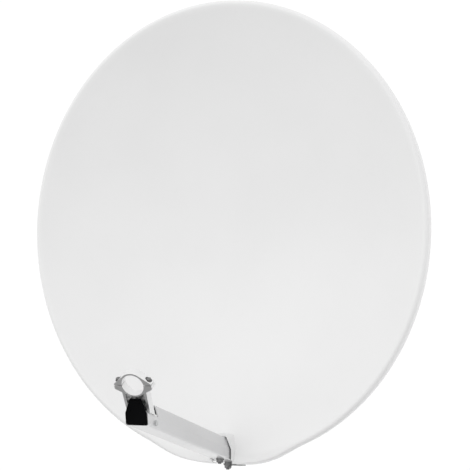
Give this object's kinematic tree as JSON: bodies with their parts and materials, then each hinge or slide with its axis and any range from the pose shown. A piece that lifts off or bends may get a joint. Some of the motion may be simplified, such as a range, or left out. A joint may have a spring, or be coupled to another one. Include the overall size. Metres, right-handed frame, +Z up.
{
  "type": "offset satellite dish antenna",
  "caption": "Offset parabolic satellite dish: sheet reflector, feed arm with split clamp holder, and a tilting bracket that clamps to a mast.",
  "frame": {"origin": "on the mast's axis, at the middle of the clamp's length", "axes": "+Z up along the mast, +X to the viewer's right when facing the dish, -Y out of the dish's face"},
  "size_m": [0.8506, 0.7325, 0.9585],
  "materials": {
    "reflector_paint": "white satin powder coat on pressed sheet",
    "edging_rubber": "dark grey rubber edging",
    "galvanised_steel": "galvanised sheet, dull spangle",
    "arm_metal": "light grey coated steel, satin",
    "cap_plastic": "black moulded plastic",
    "holder_plastic": "mid grey moulded plastic",
    "zinc_fasteners": "bright zinc plate",
    "dark_fasteners": "dark phosphated steel",
    "scale_plate": "satin aluminium"
  },
  "bodies": {
    "mast_mount": {"mast_yoke": "galvanised_steel", "elevation_scale": "scale_plate", "pivot_bolt": "zinc_fasteners", "pivot_washers": "zinc_fasteners", "pivot_nut": "zinc_fasteners", "clamp_bolts": "zinc_fasteners"},
    "mast_jaw": {"mast_jaw": "galvanised_steel", "jaw_washers": "zinc_fasteners", "jaw_nuts": "zinc_fasteners"},
    "clamp_cap": {"clamp_cap": "holder_plastic", "clamp_screws": "dark_fasteners", "clamp_washers": "dark_fasteners"},
    "dish": {"reflector": "reflector_paint", "slot_edging": "edging_rubber", "plate_bosses": "galvanised_steel", "back_plate": "galvanised_steel", "spine_channel": "galvanised_steel", "spine_rivets": "galvanised_steel", "pivot_sleeve": "galvanised_steel", "lower_stay": "galvanised_steel", "feed_arm": "arm_metal", "arm_end_cap": "cap_plastic", "lnb_holder": "holder_plastic", "plate_bolts": "zinc_fasteners", "plate_washers": "zinc_fasteners", "lock_bolt": "zinc_fasteners", "lock_washers": "zinc_fasteners", "lock_nut": "zinc_fasteners", "stay_bolts": "zinc_fasteners", "stay_nuts": "zinc_fasteners", "holder_bolt": "zinc_fasteners", "holder_nut": "zinc_fasteners", "arm_bolts": "dark_fasteners", "arm_nuts": "dark_fasteners", "clamp_nuts": "dark_fasteners", "earth_tab": "dark_fasteners"}
  },
  "joints": [
    {"name": "elevation", "type": "hinge", "parent": "mast_mount", "child": "dish", "pos_m": [0, -0.09, -0.035], "axis": [-1, 0, 0], "range_deg": [-15, 20]},
    {"name": "clamp_cap_lift", "type": "slide", "parent": "dish", "child": "clamp_cap", "axis": [0, -0.3971, 0.9178], "range_m": [0, 0.01]},
    {"name": "jaw_travel", "type": "slide", "parent": "mast_mount", "child": "mast_jaw", "axis": [0, 1, 0], "range_m": [-0.006, 0.015]}
  ]
}
